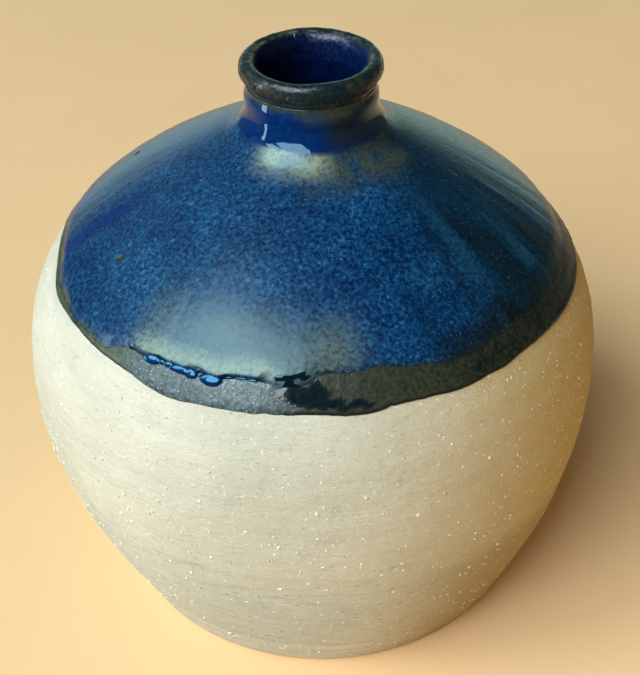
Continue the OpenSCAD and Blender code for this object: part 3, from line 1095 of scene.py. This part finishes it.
def dark_glaze():
    n = surface("dark_glaze")
    azimuth = azimuth_of(n)
    grain = n.noise(0.8, 5, 0.74)
    n.colour = n.colours(grain, [(0.36, DARK_OLIVE), (0.64, OLIVE)])
    left = n.plus(n.ramp(azimuth, -136, -126, 1.0, 0.0), n.ramp(azimuth, 140, 176))
    left = n.times(left, n.ramp(grain, 0.36, 0.6, 0.35, 1.0))
    n.lay(left, LEFT_OLIVE)
    # Painted sheen and painted glints of the window on the first coat at the front left
    front_left = n.times(n.ramp(azimuth, -138, -124), n.ramp(azimuth, -104, -90, 1.0, 0.0))
    specks = n.ramp(grain, 0.40, 0.60, 0.30, 1.0)
    n.lay(n.times(front_left, specks), SHEEN_GREY)
    painted_glints = n.ramp(n.plus(n.cells(0.75), n.times(grain, 0.3)), 0.26, 0.42, 0.95, 0.0)
    n.lay(n.times(front_left, painted_glints), GLINT_GREY)
    mottle = n.plus(n.times(grain, 0.6), n.times(n.noise(4.5, 3, 0.6), 0.4))
    patchy = n.ramp(mottle, 0.40, 0.58, 1.0, 0.45)
    right = n.times(sector(n, azimuth, -74, -46, 0.15, 1.0), patchy)
    n.lay(right, BLACK_GREEN)
    # Painted shade darkens the coat along its lower edge, with little of it at the front left
    edge = n.ramp(n.value("away"), 0.1, 0.9, 0.85, 0.0)
    edge = n.times(edge, n.ramp(front_left, 0, 1, 1.0, 0.15))
    n.lay(edge, BLACK_GREEN)
    slate = n.colours(grain, [(0.36, SLATE), (0.68, PALE_SLATE)])
    n.lay(n.value("lip"), slate)
    n.lay(n.varied("under", grain, 0.3, 0.6, 0.25, 0.7), UNDER_LIP)
    n.lay(n.varied("lip", n.noise(3.5, 3), 0.52, 0.68, 0.0, 0.5), RUST)
    n.lay(n.value("throat"), throat_depth(n, LINER_BLUE))
    n.lay(n.varied("thin", n.noise(1.4, 3), 0.40, 0.70, 0.0, 0.8), BREAK_TAN)
    n.lay(n.varied("run", grain, 0.3, 0.7, 1.0, 0.8), BLACK_BLUE)
    roughness = n.ramp(n.plus(grain, n.value("lip")), 0.3, 1.5, 0.40, 0.14)
    roughness = n.times(roughness, n.ramp(n.value("run"), 0, 1, 1.0, 0.2))
    broken = n.varied("lip", n.noise(0.9, 2), 0.46, 0.58, 1.0, 0.0)
    roughness = n.math("ADD", roughness, n.times(broken, 0.24), clamp=True)
    relief = n.times(n.noise(0.8, 3, 0.6), n.ramp(n.value("run"), 0, 1, 1.0, 0.1))
    normal = n.bump(relief, 0.10)
    return n.finish(roughness, normal)


def liner_glaze():
    n = surface("liner_glaze")
    tone = n.noise(3.5, 3, 0.6)
    n.colour = n.colours(tone, [(0.3, LINER_DARK), (0.6, LINER_BLUE), (0.8, LINER_BRIGHT)])
    n.colour = throat_depth(n, n.colour)
    normal = n.bump(n.noise(1.6, 2), 0.05)
    return n.finish(n.ramp(n.noise(1.0, 2), 0.3, 0.7, 0.14, 0.26), normal)


def dress(piece, material):
    piece.data.materials.clear()
    piece.data.materials.append(material)


# ---------------- studio

COOL_LIGHT = (0.80, 0.91, 1.0)
WARM_LIGHT = (1.0, 0.62, 0.30)
ROOM_COLOUR = (0.68, 0.95, 0.82)
GROUND_COLOUR = (1.0, 0.72, 0.44)
GROUND_NEAR = 0.03
GROUND_FAR = 0.65
ROOM_SIDE = 0.12
ROOM_BACK = 1.0
ROOM_LEFT = 0.40
FLOOR_COLOUR = (0.96, 0.63, 0.32)

# Name, azimuth, elevation, distance and (width, height) in metres, watts and colour of each light
LIGHTS = (
    ("window_left_pane", -158, 45, 2.2, (0.54, 1.45), 20, COOL_LIGHT),
    ("window_right_pane", -124, 45, 2.2, (1.18, 1.45), 47, COOL_LIGHT),
    ("left_strip", -174, 2, 1.6, (0.30, 0.60), 5.0, COOL_LIGHT),
    ("warm_fill", -8, 12, 1.8, (1.6, 0.5), 7.6, WARM_LIGHT),
)


def floor():
    bpy.ops.mesh.primitive_circle_add(vertices=96, radius=4, fill_type="NGON")
    made = bpy.context.object
    made.name = "floor"
    n = surface("floor")
    grain = n.noise(60, 3, 0.5)
    n.colour = n.colours(grain, [(0.3, FLOOR_COLOUR), (0.7, tuple(c * 1.04 for c in FLOOR_COLOUR))])
    dress(made, n.finish(0.7, n.bump(n.noise(3, 2), 0.05)))
    made.visible_glossy = False


def toward(azimuth, elevation):
    a, e = math.radians(azimuth), math.radians(elevation)
    return Vector((math.cos(a) * math.cos(e), math.sin(a) * math.cos(e), math.sin(e)))


def soft_light(name, azimuth, elevation, distance, size, watts, colour):
    """A rectangular area light that faces the shoulder of the vase."""
    data = bpy.data.lights.new(name, "AREA")
    data.shape = "RECTANGLE"
    data.size, data.size_y = size
    data.energy = watts
    data.color = colour
    made = placed(name, data)
    target = Vector((0, 0, 0.085))
    made.location = target + distance * toward(azimuth, elevation)
    made.rotation_euler = (target - made.location).to_track_quat("-Z", "Y").to_euler()
    made.visible_camera = False


def lights():
    """A two-pane window and a low strip at the left, and a warm fill from the right."""
    for row in LIGHTS:
        soft_light(*row)
    bpy.data.objects["warm_fill"].visible_glossy = False


def room():
    """The room that the glazes mirror, over a ground that is dark toward the viewer."""
    world = bpy.data.worlds.new("studio")
    n = Nodes(world, "Generated")
    ground = n.ramp(n.axis("Y"), -0.3, 0.5, GROUND_NEAR, GROUND_FAR)
    behind = n.ramp(n.axis("Y"), 0.79, 0.89, ROOM_SIDE, ROOM_BACK)
    behind = n.times(behind, n.ramp(n.axis("Z"), 0.06, 0.24, 1.0, 0.3))
    left_wall = n.ramp(n.axis("X"), -0.7, -0.3, ROOM_LEFT, 0.0)
    left_wall = n.times(left_wall, n.ramp(n.axis("Z"), 0.22, 0.42))
    horizon = n.ramp(n.axis("Z"), -0.27, -0.19)
    strength = n.node("Mix")
    for socket, source in ((0, horizon), (2, ground), (3, n.plus(behind, left_wall))):
        n.link(source, strength.inputs[socket])
    sky = n.tree.nodes["Background"]
    n.link(n.mix(horizon, GROUND_COLOUR, ROOM_COLOUR), sky.inputs["Color"])
    n.link(strength.outputs[0], sky.inputs["Strength"])
    bpy.context.scene.world = world


def camera():
    """Looks down on the shoulder from the front, with a slight roll, as the photograph does."""
    pitch = math.radians(36.74)
    roll = math.radians(-1.18)
    distance = 5 * BELLY_R * MM
    look_height = 0.888 * BELLY_R * MM
    place = Vector((0, -distance * math.cos(pitch), look_height + distance * math.sin(pitch)))
    forward = Vector((0, math.cos(pitch), -math.sin(pitch)))
    right = Vector((1, 0, 0))
    up = right.cross(forward)
    rolled_right = right * math.cos(roll) + up * math.sin(roll)
    rolled_up = up * math.cos(roll) - right * math.sin(roll)
    data = bpy.data.cameras.new("camera")
    data.sensor_fit = "AUTO"
    data.sensor_width = 36
    data.lens = 73.81
    data.shift_x = 0.0052
    data.clip_start = 0.01
    made = placed("camera", data)
    turn = Matrix((rolled_right, rolled_up, -forward)).transposed()
    made.matrix_world = Matrix.Translation(place) @ turn.to_4x4()
    bpy.context.scene.camera = made


def build():
    clay, blue, dark = stoneware(), blue_glaze(), dark_glaze()
    dress(clay_body(), clay)
    dress(grains(), white_grains())
    dress(first_coat(), dark)
    dress(blue_coat(), blue)
    dress(liner(), liner_glaze())
    pooled = pooled_glaze()
    dress(blobs("edge_beads", BEADS, 100), pooled)


build()
floor()
lights()
room()
camera()
bpy.context.scene.view_settings.view_transform = "Standard"
